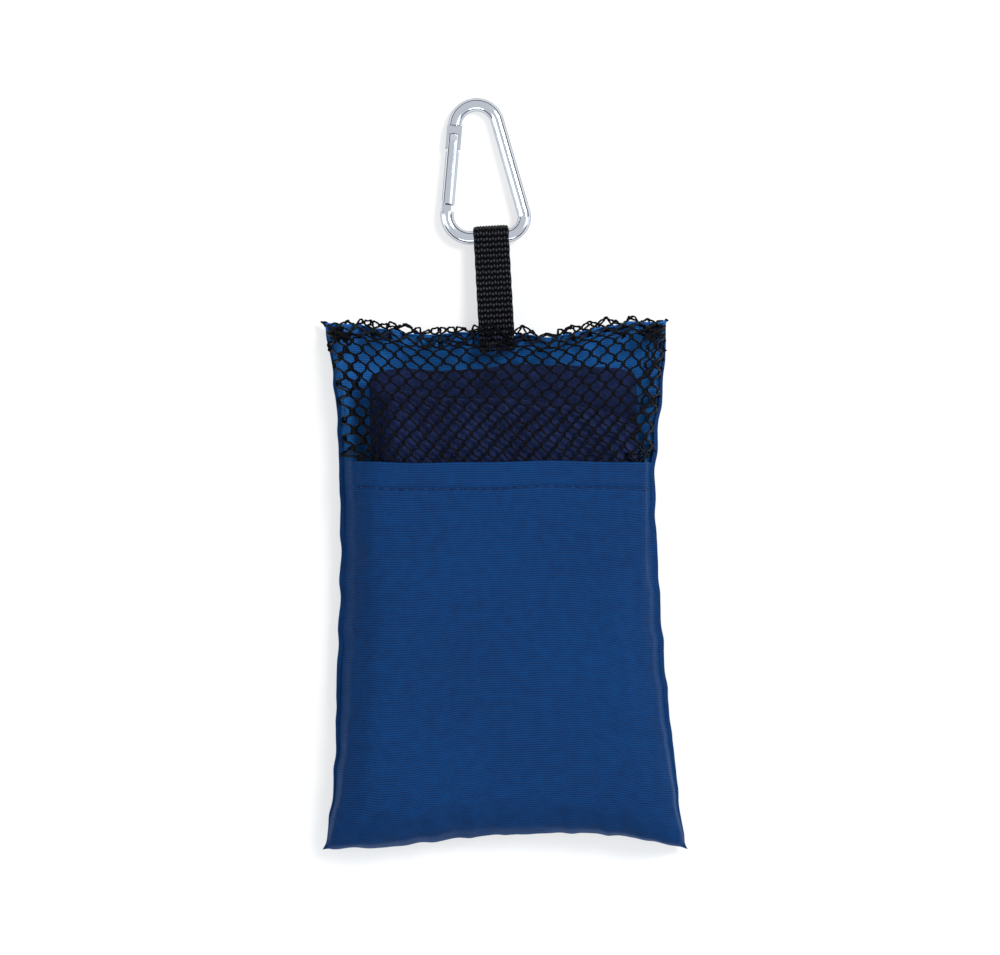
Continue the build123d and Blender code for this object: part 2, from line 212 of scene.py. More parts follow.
def grid_faces(rows, columns, start=0):
    """Quads between the points of a grid stored row by row."""
    index = np.arange(rows * columns).reshape(rows, columns) + start
    quads = (index[:-1, :-1], index[:-1, 1:], index[1:, 1:], index[1:, :-1])
    return np.stack([q.ravel() for q in quads], axis=1)


def tubes(paths, normals, radii, sides=6):
    """Points and faces of many tubes: paths and normals are (tube, point, 3), radii (tube, point)."""
    along = np.gradient(paths, axis=1)
    along /= np.linalg.norm(along, axis=2, keepdims=True) + 1e-9
    across = np.cross(along, normals)
    across /= np.linalg.norm(across, axis=2, keepdims=True) + 1e-9
    up = np.cross(across, along)
    turn = np.arange(sides) * tau / sides
    ring = up[:, :, None] * np.cos(turn)[:, None] + across[:, :, None] * np.sin(turn)[:, None]
    points = paths[:, :, None] + ring * radii[:, :, None, None]
    count, length = paths.shape[:2]
    index = np.arange(count * length * sides).reshape(count, length, sides)
    nxt = np.roll(index, -1, axis=2)
    quads = (index[:, :-1], nxt[:, :-1], nxt[:, 1:], index[:, 1:])
    faces = np.stack([q.ravel() for q in quads], axis=1)
    return points.reshape(-1, 3), faces


def measured(grid):
    """Lengths across and along a grid of points, each the mean over its lines."""
    across = np.linalg.norm(np.diff(grid, axis=1), axis=2).mean(0)
    along = np.linalg.norm(np.diff(grid, axis=0), axis=2).mean(1)
    return np.dstack(np.meshgrid(np.cumsum([0, *across]), np.cumsum([0, *along])))


def joined(parts):
    """One set of points and faces from several."""
    points, faces, count = [], [], 0
    for p, f in parts:
        points.append(p)
        faces.append(f + count)
        count += len(p)
    return np.vstack(points), np.vstack(faces)


# ---------------------------------------------------------------- the seam's outline, from the frame
def cad_edges(*names):
    """Both ends of every edge of these CAD nodes, in mm."""
    found = []
    for name in names:
        mesh = frame["nodes"][name].data
        places = np.empty(len(mesh.vertices) * 3, np.float32)
        mesh.vertices.foreach_get("co", places)
        ends = np.empty(len(mesh.edges) * 2, np.int32)
        mesh.edges.foreach_get("vertices", ends)
        found.append(places.reshape(-1, 3)[ends.reshape(-1, 2)].astype(float) / MM)
    return np.vstack(found)


def reach(edges, axis, value, other):
    """The lowest and highest place along other where edges cross axis = value."""
    a, b = edges[:, 0], edges[:, 1]
    span = b[:, axis] - a[:, axis]
    crosses = (np.abs(span) > 1e-9) & ((a[:, axis] - value) * (b[:, axis] - value) <= 0)
    share = (value - a[crosses, axis]) / span[crosses]
    places = a[crosses, other] + share * (b[crosses, other] - a[crosses, other])
    return places.min(), places.max()


def smoothed(line, passes=2):
    """A polyline with small kinks eased out, its ends kept."""
    line = line.copy()
    for _ in range(passes):
        line[1:-1] = (line[:-2] + 2 * line[1:-1] + line[2:]) / 4
    return line


shell_edges = cad_edges("back_panel", "front_panel", "mesh_panel")
shell_points = shell_edges.reshape(-1, 3)[:, :2]


def corner(x_sign, y_sign):
    return shell_points[np.argmax(shell_points @ np.array([x_sign, y_sign]))]


corners = {(x, y): corner(x, y) for x in (-1, 1) for y in (-1, 1)}


def side_line(x_sign, count):
    """The outline from the bottom corner to the top one on the left (-1) or the right (+1)."""
    low, high = corners[x_sign, -1], corners[x_sign, 1]
    ys = np.linspace(low[1], high[1], count)
    xs = np.array([reach(shell_edges, 1, y, 0)[x_sign > 0] for y in ys[1:-1]])
    xs -= x_sign * np.abs(ripple(ys[1:-1], ((27.0, 0.45, x_sign), (43.0, 0.4, 2.0), (11.0, 0.12, 0.5))))
    return smoothed(np.column_stack([[low[0], *xs, high[0]], ys]))


def end_line(y_sign, count):
    """The outline from the left corner to the right one at the bottom (-1) or the top (+1)."""
    left, right = corners[-1, y_sign], corners[1, y_sign]
    xs = np.linspace(left[0], right[0], count)
    ys = np.array([reach(shell_edges, 0, x, 1)[y_sign > 0] for x in xs[1:-1]])
    ys -= y_sign * np.abs(ripple(xs[1:-1], ((31.0, 0.5, y_sign), (19.0, 0.35, 1.0), (9.0, 0.12, 0.0))))
    return smoothed(np.column_stack([xs, [left[1], *ys, right[1]]]))


def patch(us, vs, inset=0.0):
    """Points of the plane inside the outline: rows follow vs from the bottom, columns us from the left."""
    fine = 161
    share = np.linspace(0, 1, fine)
    taper = np.sin(pi * share) ** 0.5
    left, right = side_line(-1, fine), side_line(1, fine)
    bottom, top = end_line(-1, fine), end_line(1, fine)
    left[:, 0] += inset * taper
    right[:, 0] -= inset * taper

    def at(line, places):
        return np.column_stack([np.interp(places, share, line[:, k]) for k in (0, 1)])

    u, v = us[None, :, None], vs[:, None, None]
    sides = (1 - u) * at(left, vs)[:, None] + u * at(right, vs)[:, None]
    ends = (1 - v) * at(bottom, us)[None] + v * at(top, us)[None]
    flat = (1 - v) * ((1 - u) * left[0] + u * right[0]) + v * ((1 - u) * left[-1] + u * right[-1])
    return sides + ends - flat


def seam_height(u, v):
    """Height of the seam at the outline, lower towards the corners, with the small puckers of sewing."""
    middle = np.maximum(np.sin(pi * np.clip(u, 0, 1)), np.sin(pi * np.clip(v, 0, 1)))
    corner_share = np.sin(pi * u) ** 0.35 * 0.5 + np.sin(pi * v) ** 0.35 * 0.5
    rise = SEAM_CORNER + (SEAM_MIDDLE - SEAM_CORNER) * np.clip(corner_share * 2 * middle, 0, 1)
    around = u * FLAT_WIDTH + v * FLAT_LENGTH
    return rise + ripple(around, ((9.1, 0.16, 0.4), (14.7, 0.22, 1.9), (23.0, 0.2, 0.8)))


# ---------------------------------------------------------------- what the cloth lies on
def block_height(x, y, box, top, rounding):
    """Height of a block with rounded upper edges."""
    left, right, low, high = box
    inside = np.minimum(np.minimum(x - left, right - x), np.minimum(y - low, high - y))
    t = np.clip(inside / rounding, 0, 1)
    return np.where(inside > 0, top - rounding * (1 - np.sqrt(1 - (1 - t) ** 2)), 0)


def front_fold_y(x):
    """Where the towel's front fold ends, which isn't square to the pouch."""
    return 24.6 - 0.092 * x + ripple(x, ((61.0, 0.8, 0.5), (33.0, 0.35, 2.0)))


def filling_height(x, y):
    """The top of what fills the pouch, as the draped cloth feels it."""
    towel_low, towel_high = (np.array(c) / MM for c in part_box("towel"))
    rear = (towel_low[0] - 1.5, towel_high[0] + 1.5, towel_low[1] - 1.0, towel_high[1] + 1.0)
    front = (towel_low[0] - 0.5, towel_high[0] + 1.5, towel_low[1] - 0.5, front_fold_y(x))
    soft = ripple(x * 0.6 + y, ((57.0, 0.22, 0.3), (31.0, 0.12, 1.0)))
    soft = soft + ripple(x - 0.35 * y, ((43.0, 0.2, 2.2), (23.0, 0.08, 0.9)))
    lower = block_height(x, y, rear, REAR_TOP, BLOCK_ROUNDING)
    upper = block_height(x, y, front, towel_high[2] + FRONT_RISE, BLOCK_ROUNDING)
    return np.maximum(lower, upper + soft * (upper > 12))


# ---------------------------------------------------------------- cloth simulation
def drape(start, flat, frames):
    """Rests a sheet on the filling: start is its grid of points in mm, with its rim held, and flat
    its cut size."""
    scene = bpy.context.scene
    rows, columns = start.shape[:2]
    xs = np.arange(-BLOCK_SIDE, BLOCK_SIDE + BLOCK_STEP / 2, BLOCK_STEP)
    ys = np.arange(BLOCK_LOW, BLOCK_HIGH + BLOCK_STEP / 2, BLOCK_STEP)
    gx, gy = np.meshgrid(xs, ys)
    heights = filling_height(gx, gy)
    block = np.stack([gx, gy, heights], axis=2).reshape(-1, 3) * SIM_SCALE
    filling = new_piece("filling", block, grid_faces(len(ys), len(xs)))
    filling.modifiers.new("collision", "COLLISION")
    filling.collision.thickness_outer = CONTACT_GAP
    filling.collision.cloth_friction = 4.0

    cloth_object = new_piece("cloth", start.reshape(-1, 3) * SIM_SCALE, grid_faces(rows, columns))
    rim = np.zeros((rows, columns), bool)
    rim[[0, -1]] = True
    rim[:, [0, -1]] = True
    held = cloth_object.vertex_groups.new(name="rim")
    held.add(np.flatnonzero(rim.ravel()).tolist(), 1.0, "REPLACE")
    cloth_object.shape_key_add(name="start")
    cut = cloth_object.shape_key_add(name="cut")
    fx, fy = np.meshgrid(np.linspace(0, flat[0], columns), np.linspace(0, flat[1], rows))
    cut_points = np.stack([fx, fy, np.zeros_like(fx)], axis=2) * SIM_SCALE * MM
    cut.data.foreach_set("co", cut_points.astype(np.float32).ravel())

    cloth = cloth_object.modifiers.new("cloth", "CLOTH")
    settings = cloth.settings
    settings.quality = 6
    settings.mass = 0.3
    settings.air_damping = 4.0
    settings.tension_stiffness = 40
    settings.compression_stiffness = 40
    settings.shear_stiffness = 15
    settings.bending_stiffness = 8.0
    settings.bending_damping = 1.0
    settings.effector_weights.gravity = 0.15
    settings.use_pressure = True
    settings.uniform_pressure_force = STUFFING
    settings.vertex_group_mass = "rim"
    settings.pin_stiffness = 1.0
    settings.rest_shape_key = cut
    cloth.collision_settings.distance_min = CONTACT_GAP
    cloth.collision_settings.collision_quality = 3
    cloth.point_cache.frame_start = 1
    cloth.point_cache.frame_end = frames
    for number in range(1, frames + 1):
        scene.frame_set(number)
    evaluated = cloth_object.evaluated_get(bpy.context.evaluated_depsgraph_get())
    places = np.empty(rows * columns * 3, np.float32)
    evaluated.data.vertices.foreach_get("co", places)
    for used in (cloth_object, filling):
        data = used.data
        bpy.data.objects.remove(used)
        bpy.data.meshes.remove(data)
    scene.frame_set(1)
    return places.reshape(rows, columns, 3).astype(float) / (SIM_SCALE * MM)


def cubic_weights(count, places):
    """Catmull-Rom weights that read a row of count samples at places from 0 to 1."""
    position = np.clip(places, 0, 1) * (count - 1)
    cell = np.minimum(position.astype(int), count - 2)
    t = position - cell
    weights = np.zeros((len(places), count))
    curve = (
        (-t**3 + 2 * t**2 - t) / 2,
        (3 * t**3 - 5 * t**2 + 2) / 2,
        (-3 * t**3 + 4 * t**2 + t) / 2,
        (t**3 - t**2) / 2,
    )
    for shift, value in zip((-1, 0, 1, 2), curve):
        np.add.at(weights, (np.arange(len(places)), np.clip(cell + shift, 0, count - 1)), value)
    return weights


class Surface:
    """A draped sheet, read at any place of its flat cut."""

    def __init__(self, grid, size, finer=4):
        rows, columns = ((n - 1) * finer + 1 for n in grid.shape[:2])
        tall = cubic_weights(grid.shape[0], np.linspace(0, 1, rows))
        wide = cubic_weights(grid.shape[1], np.linspace(0, 1, columns))
        self.grid = np.einsum("ij,jkc,lk->ilc", tall, grid, wide)
        self.size = size
        across = np.gradient(self.grid, axis=1)
        along = np.gradient(self.grid, axis=0)
        normal = np.cross(across, along)
        self.normals = normal / (np.linalg.norm(normal, axis=2, keepdims=True) + 1e-9)

    def read(self, table, x, y):
        rows, columns = table.shape[:2]
        u = np.clip(x / self.size[0], 0, 1) * (columns - 1)
        v = np.clip(y / self.size[1], 0, 1) * (rows - 1)
        i, j = np.minimum(u.astype(int), columns - 2), np.minimum(v.astype(int), rows - 2)
        s, t = (u - i)[..., None], (v - j)[..., None]
        low = table[j, i] * (1 - s) + table[j, i + 1] * s
        high = table[j + 1, i] * (1 - s) + table[j + 1, i + 1] * s
        return low * (1 - t) + high * t

    def place(self, x, y, lift=0.0):
        """The point over flat place (x, y), lift above the cloth."""
        lift = np.broadcast_to(np.asarray(lift, float), np.shape(x))[..., None]
        return self.read(self.grid, x, y) + self.normal(x, y) * lift

    def normal(self, x, y):
        found = self.read(self.normals, x, y)
        return found / (np.linalg.norm(found, axis=-1, keepdims=True) + 1e-9)

    def flat_y(self, x, target):
        """The flat length at which the cloth passes this Y, at flat place x across it."""
        lengths = np.linspace(0, self.size[1], self.grid.shape[0])
        columns = np.linspace(0, self.size[0], self.grid.shape[1])
        found = [np.interp(target, self.grid[:, c, 1], lengths) for c in range(len(columns))]
        return np.interp(x, columns, found)


def lip_at(surface, x):
    """The flat length of the hem's top edge at flat place x."""
    inside = np.clip(x, LIP_EASE, FLAT_WIDTH - LIP_EASE)
    return surface.flat_y(inside, LIP_Y) + ripple(x, ((97.0, 0.35, 2.4), (38.0, 0.12, 0.3)))


def draped_front():
    us, vs = np.linspace(0, 1, GRID_U), np.linspace(0, 1, GRID_V)
    plane = patch(us, vs, BACK_LIP)
    u, v = np.meshgrid(us, vs)
    rim = seam_height(u, v)
    swell = (1 - np.abs(2 * u - 1) ** 7) ** 0.5 * (1 - np.abs(2 * v - 1) ** 9) ** 0.5
    start = np.dstack([plane, rim + (START_HEIGHT - rim) * swell])
    done = drape(start, (REST_WIDTH, REST_LENGTH), FULL_FRAMES)
    room = cad_box[1].z / MM - NYLON_LIFT - CEILING_EASE
    high = np.maximum(done[..., 2] - CEILING_EASE, 0) / room
    done[..., 2] = np.where(high > 0, CEILING_EASE + room * np.tanh(high), done[..., 2])
    return Surface(done, (FLAT_WIDTH, FLAT_LENGTH))


# ---------------------------------------------------------------- materials
def material(name, **inputs):
    """A material whose Principled shader has these sockets set."""
    made = bpy.data.materials.new(name)
    made.use_nodes = True
    shader = made.node_tree.nodes["Principled BSDF"]
    for socket, value in inputs.items():
        shader.inputs[socket.replace("_", " ")].default_value = value
    return made, made.node_tree, shader


def node(tree, kind, links=None, **values):
    """A shader node: values are its properties, or its sockets' values where they start with in_."""
    made = tree.nodes.new(kind)
    for key, value in values.items():
        if key.startswith("in_"):
            made.inputs[key[3:].replace("_", " ")].default_value = value
        else:
            setattr(made, key, value)
    for socket, source in (links or {}).items():
        tree.links.new(source, made.inputs[socket])
    return made


def math(tree, operation, a, b=None, c=None):
    """A Math node's result, from numbers or other results."""
    made = tree.nodes.new("ShaderNodeMath")
    made.operation = operation
    for socket, value in zip(made.inputs, (a, b, c)):
        if value is None:
            continue
        if hasattr(value, "is_linked"):
            tree.links.new(value, socket)
        else:
            socket.default_value = value
    return made.outputs[0]


def ramp(tree, factor, stops):
    """A colour ramp: stops holds (position, colour)."""
    made = tree.nodes.new("ShaderNodeValToRGB")
    tree.links.new(factor, made.inputs[0])
    elements = made.color_ramp.elements
    while len(elements) < len(stops):
        elements.new(0.5)
    for element, (position, colour) in zip(elements, stops):
        element.position = position
        element.color = (*colour, 1)
    return made.outputs[0]


def bump(tree, shader, height, strength, distance):
    made = node(tree, "ShaderNodeBump", {"Height": height}, in_Strength=strength, in_Distance=distance)
    tree.links.new(made.outputs[0], shader.inputs["Normal"])


def flat_axes(tree):
    """The piece's flat coordinates in metres, across and along."""
    coordinates = tree.nodes.new("ShaderNodeUVMap")
    coordinates.uv_map = "flat"
    split = node(tree, "ShaderNodeSeparateXYZ", {0: coordinates.outputs[0]})
    return coordinates.outputs[0], split.outputs[0], split.outputs[1]


def nylon_material(name, dark, bright):
    """Plain-woven coated nylon: ribs across it, each broken into short floats; their catching of the light is
    painted into the colour as highlight on the floats and shade between them.
    """
    made, tree, shader = material(name, Specular_IOR_Level=0.015)
    shader.inputs["Sheen Weight"].default_value = 0.13
    shader.inputs["Sheen Roughness"].default_value = 0.3
    shader.inputs["Sheen Tint"].default_value = (0.0, 0.3, 1.0, 1)
    place, across, along = flat_axes(tree)
    wander = node(tree, "ShaderNodeTexNoise", {"Vector": place}, in_Scale=55.0, in_Detail=3.0)
    rib_place = math(tree, "MULTIPLY", along, 1 / (NYLON_RIB * MM))
    rib_place = math(tree, "ADD", rib_place, math(tree, "MULTIPLY", wander.outputs[0], 0.25))
    rib = math(tree, "ABSOLUTE", math(tree, "SINE", math(tree, "MULTIPLY", rib_place, pi)))
    row = math(tree, "FLOOR", rib_place)
    shift = math(tree, "MULTIPLY", math(tree, "MODULO", row, 2.0), 0.5)
    yarn_place = math(tree, "ADD", math(tree, "MULTIPLY", across, 1 / (NYLON_YARN * MM)), shift)
    yarn = math(tree, "ABSOLUTE", math(tree, "SINE", math(tree, "MULTIPLY", yarn_place, pi)))
    weave = math(tree, "MULTIPLY", math(tree, "POWER", rib, 0.7), math(tree, "POWER", yarn, 0.5))
    patches = node(tree, "ShaderNodeTexNoise", {"Vector": place}, in_Scale=260.0, in_Detail=2.0)
    slow = node(tree, "ShaderNodeTexNoise", {"Vector": place}, in_Scale=22.0, in_Detail=2.0)
    tone = math(tree, "MULTIPLY_ADD", patches.outputs[0], 0.3, math(tree, "MULTIPLY", weave, 0.7))
    tone = math(tree, "MULTIPLY_ADD", slow.outputs[0], 0.2, tone)
    middle = tuple((a + b) / 2 for a, b in zip(dark, bright))
    # The ramp paints highlight on the weave's floats and shade between them; the noise patches and the slow
    # tone are random.
    colour = ramp(tree, tone, ((0.25, dark), (0.6, middle), (0.95, bright)))
    tree.links.new(colour, shader.inputs["Base Color"])
    gloss = math(tree, "SUBTRACT", 0.56, math(tree, "MULTIPLY", weave, 0.16))
    tree.links.new(gloss, shader.inputs["Roughness"])
    bump(tree, shader, weave, 0.35, 0.00012)
    return made


def thread_material(name, dark, bright, scale=1800.0, roughness=0.5, shine=0.1):
    """Spun or filament thread: fine streaks of two tones."""
    made, tree, shader = material(name, Roughness=roughness, Specular_IOR_Level=shine)
    place = tree.nodes.new("ShaderNodeTexCoord").outputs["Object"]
    grain = node(tree, "ShaderNodeTexNoise", {"Vector": place}, in_Scale=scale, in_Detail=2.0)
    colour = ramp(tree, grain.outputs[0], ((0.35, dark), (0.7, bright)))
    tree.links.new(colour, shader.inputs["Base Color"])
    bump(tree, shader, grain.outputs[0], 0.6, 0.0001)
    return made


def webbing_material():
    """Ribbed webbing of black yarn: painted shade in the gaps between the floats of its warps, and a painted
    glint on the floats' crowns.
    """
    made, tree, shader = material("webbing_yarn_black", Roughness=0.4, Specular_IOR_Level=0.04)
    place, across, along = flat_axes(tree)
    warp = math(tree, "MULTIPLY_ADD", across, WARPS / (WEBBING_WIDTH * MM), WARPS / 2)
    odd = math(tree, "MODULO", math(tree, "FLOOR", warp), 2.0)
    rib = math(tree, "MULTIPLY_ADD", odd, WARP_STAGGER, math(tree, "MULTIPLY", along, 1 / (RIB_PITCH * MM)))
    beat = math(tree, "ABSOLUTE", math(tree, "SINE", math(tree, "MULTIPLY", rib, pi)))
    crown = math(tree, "ABSOLUTE", math(tree, "SINE", math(tree, "MULTIPLY", warp, pi)))
    # floats is high on the floats' crowns, where it paints a glint, and low in the gaps, where it paints
    # shade.
    floats = math(tree, "MULTIPLY", beat, math(tree, "POWER", crown, 0.6))
    grain = node(tree, "ShaderNodeTexNoise", {"Vector": place}, in_Scale=1400.0, in_Detail=2.0)
    tone = math(tree, "MULTIPLY", floats, math(tree, "ADD", grain.outputs[0], 0.5))
    # The ramp runs from painted shade in the gaps to a painted glint on the crowns.
    stops = ((0.4, (0.0006, 0.0007, 0.001)), (0.75, (0.009, 0.0095, 0.012)), (1.0, (0.035, 0.037, 0.044)))
    tree.links.new(ramp(tree, tone, stops), shader.inputs["Base Color"])
    bump(tree, shader, grain.outputs[0], 0.4, 0.0001)
    return made


def towel_material():
    """Suede microfibre: a short nap that brushes light and dark, with a fine pebble."""
    made, tree, shader = material("towel_microfibre", Roughness=0.9, Specular_IOR_Level=0.1)
    shader.inputs["Sheen Weight"].default_value = 0.06
    shader.inputs["Sheen Roughness"].default_value = 0.45
    shader.inputs["Sheen Tint"].default_value = (0.3, 0.4, 0.9, 1)
    place, _, _ = flat_axes(tree)
    nap = node(tree, "ShaderNodeTexNoise", {"Vector": place}, in_Scale=70.0, in_Detail=4.0)
    pebble = node(tree, "ShaderNodeTexVoronoi", {"Vector": place}, in_Scale=900.0)
    tone = math(tree, "MULTIPLY_ADD", pebble.outputs[0], 0.5, math(tree, "MULTIPLY", nap.outputs[0], 0.7))
    colour = ramp(tree, tone, ((0.3, (0.0028, 0.005, 0.018)), (0.8, (0.010, 0.018, 0.066))))
    tree.links.new(colour, shader.inputs["Base Color"])
    bump(tree, shader, pebble.outputs[0], 0.5, 0.0003)
    return made


def metal_material(name, tone, roughness):
    """Polished rod with faint draw marks and handling haze."""
    made, tree, shader = material(name, Metallic=1.0, Base_Color=(*tone, 1))
    shader.inputs["Specular Tint"].default_value = (0.12, 0.15, 0.2, 1)
    place = tree.nodes.new("ShaderNodeTexCoord").outputs["Object"]
    haze = node(tree, "ShaderNodeTexNoise", {"Vector": place}, in_Scale=240.0, in_Detail=4.0)
    worn = math(tree, "ADD", roughness - 0.05, math(tree, "MULTIPLY", haze.outputs[0], 0.1))
    tree.links.new(worn, shader.inputs["Roughness"])
    marks = node(tree, "ShaderNodeTexNoise", {"Vector": place}, in_Scale=1500.0)
    bump(tree, shader, marks.outputs[0], 0.06, 0.00005)
    return made


def dress(piece, *materials):
    for one in materials:
        piece.data.materials.append(one)


def dress_node(name, made):
    """Gives a CAD node that stays in view a finished material."""
    slots = frame["nodes"][name].material_slots
    for one in slots:
        one.material = made


# ---------------------------------------------------------------- nylon front with its folded hem
def stitch_line(lip, x):
    """Flat length of the hem's stitch line at x."""
    return lip - HEM_DEPTH + ripple(x, ((83.0, 0.25, 0.4), (37.0, 0.12, 1.1)))


def front_lift(x, y, lip):
    """How high the nylon stands over the draped surface, with the stitch line pulled down."""
    line = stitch_line(lip, x)
    phase = (x / STITCH_PITCH) % 1.0
    hole = np.exp(-((phase / 0.1) ** 2)) + np.exp(-(((phase - 1.0) / 0.1) ** 2))
    groove = np.exp(-(((y - line) / 0.75) ** 2)) * (0.28 + 0.3 * hole)
    below = np.exp(-(((y - line + 1.9) / 1.1) ** 2)) * 0.12
    above = np.exp(-(((y - line - 2.0) / 1.2) ** 2)) * 0.16
    puckers = 0.5 + 0.5 * np.sin(tau * x / STITCH_PITCH)
    return NYLON_LIFT - groove + (below + above) * (0.6 + 0.4 * puckers)


def nylon_front(surface, nylon):
    across = np.linspace(0, FLAT_WIDTH, 361)
    lip = lip_at(surface, across)[None]
    body = np.linspace(0, 1, 150)[:, None] * (lip - HEM_DEPTH - HEM_MARGIN)
    hem = np.linspace(-HEM_DEPTH - HEM_MARGIN, -LIP_ROUND, 64)[1:, None] + lip
    y = np.concatenate([body, hem])
    x = np.broadcast_to(across, y.shape)
    rim = np.minimum(np.minimum(x, FLAT_WIDTH - x), y) / RIM_EASE
    outside = surface.place(x, y, front_lift(x, y, lip) * smooth_step(rim))

    side = smooth_step(np.minimum(across, FLAT_WIDTH - across) / RIM_EASE)[None]
    turn = np.linspace(0, pi, 9)[1:, None]
    fold_y = lip - LIP_ROUND + np.sin(turn) * LIP_ROUND
    fold_lift = (NYLON_LIFT - LIP_ROLL + np.cos(turn) * LIP_ROLL) * side
    fold = surface.place(np.broadcast_to(across, fold_y.shape), fold_y, fold_lift)

    inner_y = np.linspace(-LIP_ROUND, -HEM_DEPTH - HEM_TURNED, 22)[1:, None] + lip
    inner_x = np.broadcast_to(across, inner_y.shape)
    inner_lift = np.minimum(front_lift(inner_x, inner_y, lip) - 0.3, NYLON_LIFT - 2 * LIP_ROLL) * side
    inside = surface.place(inner_x, inner_y, inner_lift)

    rows = np.concatenate([outside, fold, inside])
    piece = new_piece(
        "front_panel_nylon",
        rows.reshape(-1, 3),
        grid_faces(*rows.shape[:2]),
        "pouch",
        measured(rows).reshape(-1, 2),
    )
    thickness = piece.modifiers.new("thickness", "SOLIDIFY")
    thickness.thickness = NYLON_THICKNESS * MM
    thickness.offset = 0
    dress(piece, nylon)
    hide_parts("front_panel")


def hem_thread(surface, thread):
    """Lock stitches along the hem: each dives into its needle holes at both ends."""
    starts = np.arange(STITCH_PITCH, FLAT_WIDTH - STITCH_PITCH, STITCH_PITCH)
    t = np.linspace(0, 1, 13)
    x = starts[:, None] + t[None] * STITCH_PITCH * STITCH_DUTY + STITCH_PITCH * (1 - STITCH_DUTY) / 2
    y = stitch_line(lip_at(surface, x), x) + 0.08 * np.sin(starts[:, None] * 5.3) + 0.1 * (t[None] - 0.5)
    lift = NYLON_LIFT - STITCH_DIVE * (1 - np.sin(pi * t[None]) ** 0.5) + 0 * x
    paths = surface.place(x, y, lift)
    radii = np.broadcast_to(STITCH_RADIUS * (1 - 0.25 * np.abs(2 * t - 1) ** 3), x.shape)
    points, faces = tubes(paths, surface.normal(x, y), radii, 8)
    piece = new_piece("hem_stitches_thread", points, faces, "pouch")
    dress(piece, thread)
    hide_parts("hem_stitches")


# ---------------------------------------------------------------- knitted mesh
def mesh_wales(y_low, y_high, x_low, x_high):
    """Flat paths of the knit's upright threads, which meet side by side in each bar, and the bars'
    middles."""
    first, last = int(np.floor(x_low / HOLE_PITCH)) - 1, int(np.ceil(x_high / HOLE_PITCH)) + 1
    low_row, high_row = int(np.floor(y_low / ROW_PITCH)), int(np.ceil(y_high / ROW_PITCH))
    rows = np.arange(low_row, high_row + 1)
    odd = (rows % 2).astype(float)
    bars = []
    for column in range(first, last + 1):
        bars.append(np.column_stack([(column + 0.5 - 0.5 * odd) * HOLE_PITCH, rows * ROW_PITCH]))
    steps = np.array([-0.5, -0.38, -0.13, 0.13, 0.38, 0.5]) * BAR_LENGTH
    squeeze = np.array([1.6, 1.02, 0.94, 0.94, 1.02, 1.6]) * STRAND_OFFSET
    wales = []
    for column in range(first, last + 1):
        for hand in (-1, 1):
            bar_x = (column + 0.5 + hand * odd / 2) * HOLE_PITCH
            side = np.where(odd > 0, -hand, hand)
            x = bar_x[:, None] + side[:, None] * squeeze[None]
            y = rows[:, None] * ROW_PITCH + steps[None]
            wales.append(np.stack([x.ravel(), y.ravel()], axis=1))
    return np.array(wales), np.array(bars)


def knit_noise(x, y, amount):
    """Small unevenness of the knit."""
    dx = np.sin(x * 1.31 + y * 0.53) + np.sin(x * 0.47 - y * 1.13 + 1.0)
    dy = np.sin(x * 0.91 - y * 0.77 + 2.0) + np.sin(x * 0.39 + y * 1.57)
    return x + amount * dx, y + amount * dy


def fold_edges(x, y, lip):
    """How far the mesh's fold stands out past the seam at the sides and along the top; under the nylon
    it stays inside."""
    side = 0.45 + ripple(y, ((17.0, 0.4, 0.3), (9.3, 0.3, 1.2), (41.0, 0.3, 0.2)))
    side = np.where(y > lip + 1, np.maximum(side, 0.05), -1.6)
    top = 2.8 + ripple(x, ((14.5, 0.5, 0.9), (33.0, 0.6, 2.1), (7.9, 0.3, 0.0)))
    top = top * smooth_step(np.minimum(x, FLAT_WIDTH - x) / 14)
    return side, np.maximum(top, 0.6)


def mesh_place(surface, x, y, lift, lip):
    """The place of flat (x, y) on the mesh: past the seam it stands out a little, then folds back inside."""
    half = FLAT_WIDTH / 2
    into = y - (FLAT_LENGTH - GATHERED)
    y = y - GATHER_SHARE * np.maximum(into, 0) * smooth_step(into / GATHERED)
    side_edge, top_edge = fold_edges(x, y, lip)
    from_middle = np.abs(x - half)
    over_x = from_middle - half - side_edge
    over_y = y - FLAT_LENGTH - top_edge
    from_middle = np.where(over_x > 0, from_middle - 2 * over_x, from_middle)
    folded_x = half + np.sign(x - half) * from_middle
    folded_y = np.where(over_y > 0, y - 2 * over_y, y)
    out_x = np.maximum(from_middle - half, 0) * np.sign(x - half)
    out_y = np.maximum(folded_y - FLAT_LENGTH, 0)
    under = np.maximum(smooth_step((over_x + 0.6) / 1.2), smooth_step((over_y + 0.6) / 1.2))
    points = surface.place(folded_x, folded_y, lift - FOLD_DROP * under)
    points[..., 0] += out_x
    points[..., 1] += out_y
    beside = np.abs(points[..., 0] - strap_root[0]) - STRAP_CLEAR
    over_strap = (1 - smooth_step(beside / STRAP_SLOPE)) * (1 - under)
    low = np.maximum(strap_root[2] + WEBBING_THICKNESS * 1.5 + lift - points[..., 2], 0)
    points[..., 2] += low * over_strap
    return points, surface.normal(folded_x, folded_y)


